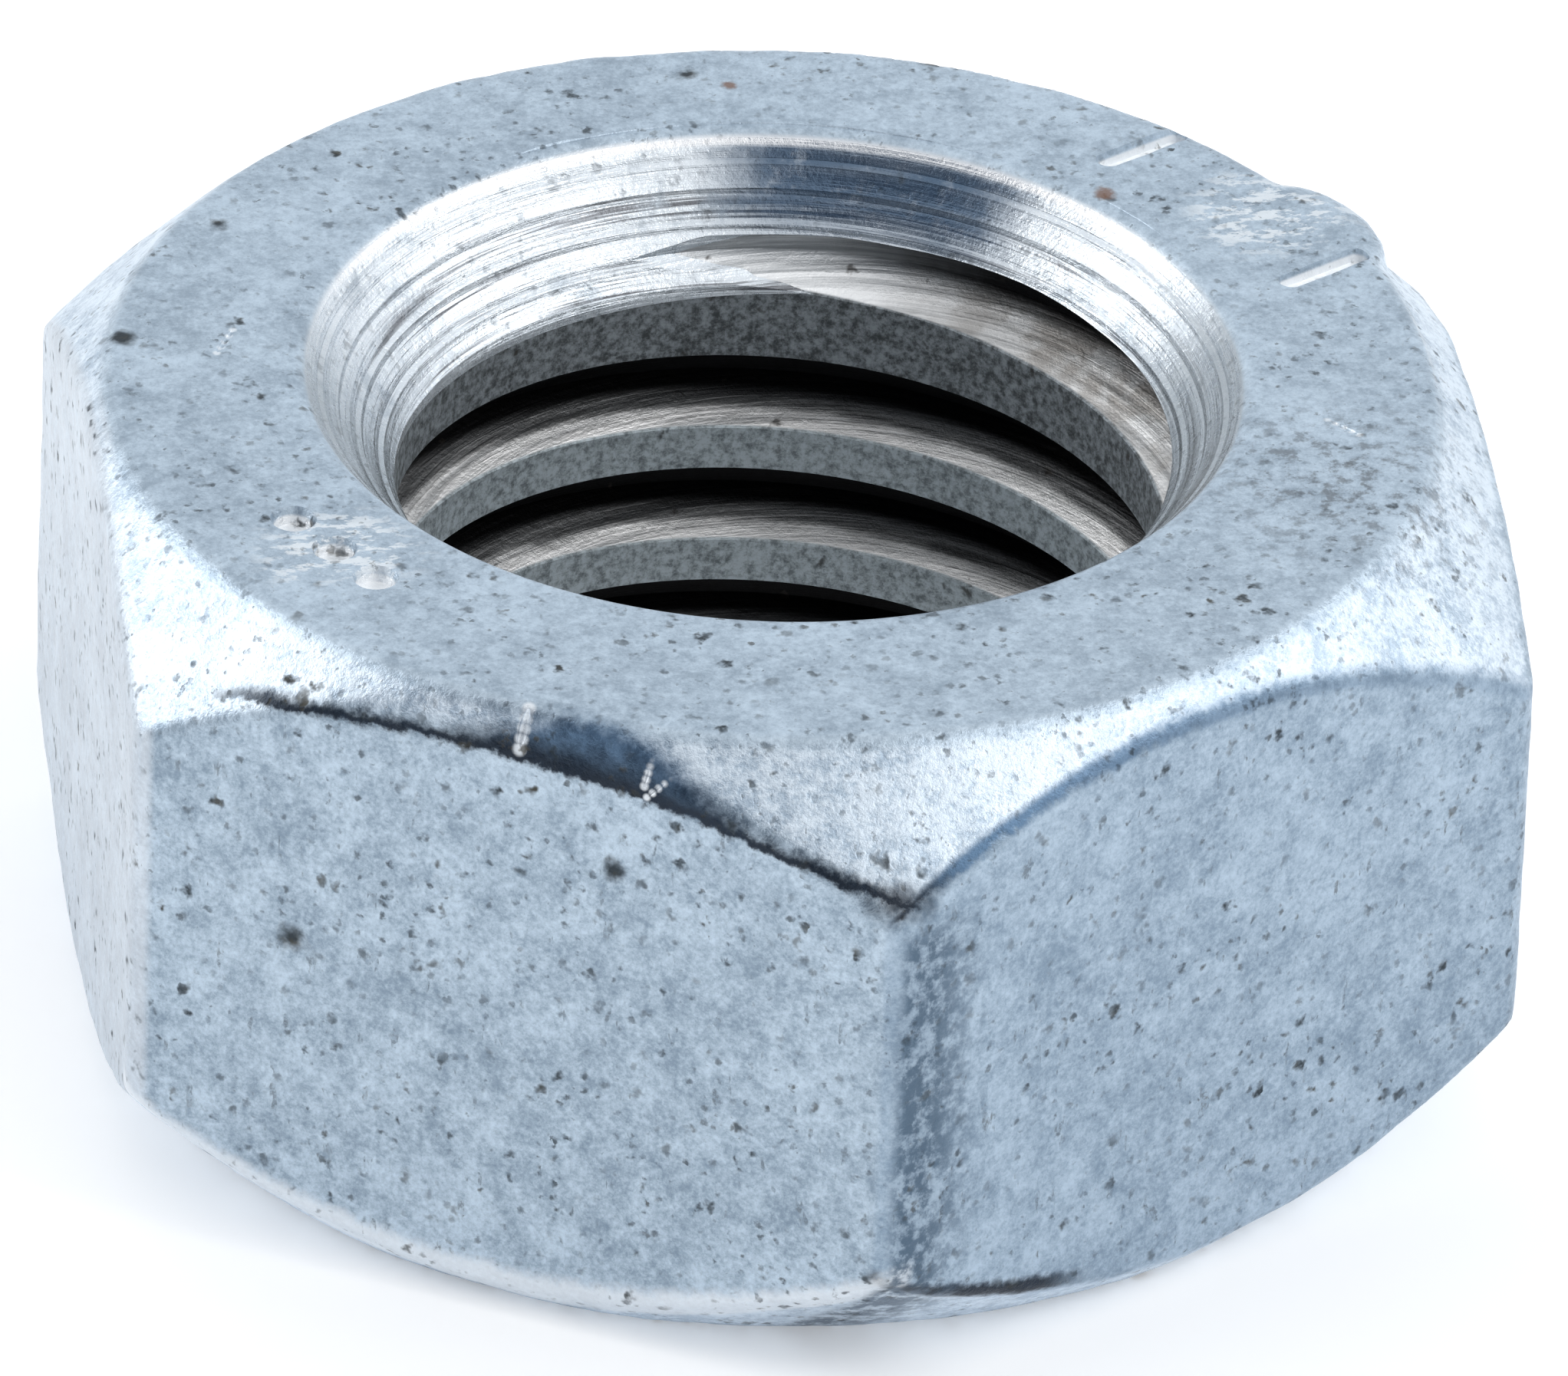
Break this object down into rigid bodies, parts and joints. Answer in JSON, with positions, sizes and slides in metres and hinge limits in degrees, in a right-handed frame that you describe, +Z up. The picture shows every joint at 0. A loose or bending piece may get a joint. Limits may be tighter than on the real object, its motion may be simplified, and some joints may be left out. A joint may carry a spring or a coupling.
{
  "type": "hex nut",
  "caption": "Plain hexagon nut, chamfered on both sides, with a right-hand coarse metric thread and a hot-dip zinc skin.",
  "frame": {"origin": "middle of the lower bearing face, on the thread axis", "axes": "+Z up the thread axis, out of the marked bearing face; +X square to a pair of spanner flats; +Y through a corner"},
  "size_m": [0.013, 0.015, 0.0065],
  "materials": {
    "bare_steel": "tapped and left bare, grey, with turning lines on the thread flanks",
    "galvanised_zinc": "hot-dip zinc, matt blue-grey with fine dark specks, worn bright on the chamfers"
  },
  "bodies": {
    "root": {"steel_body": "bare_steel", "zinc_coat": "galvanised_zinc"}
  },
  "joints": []
}
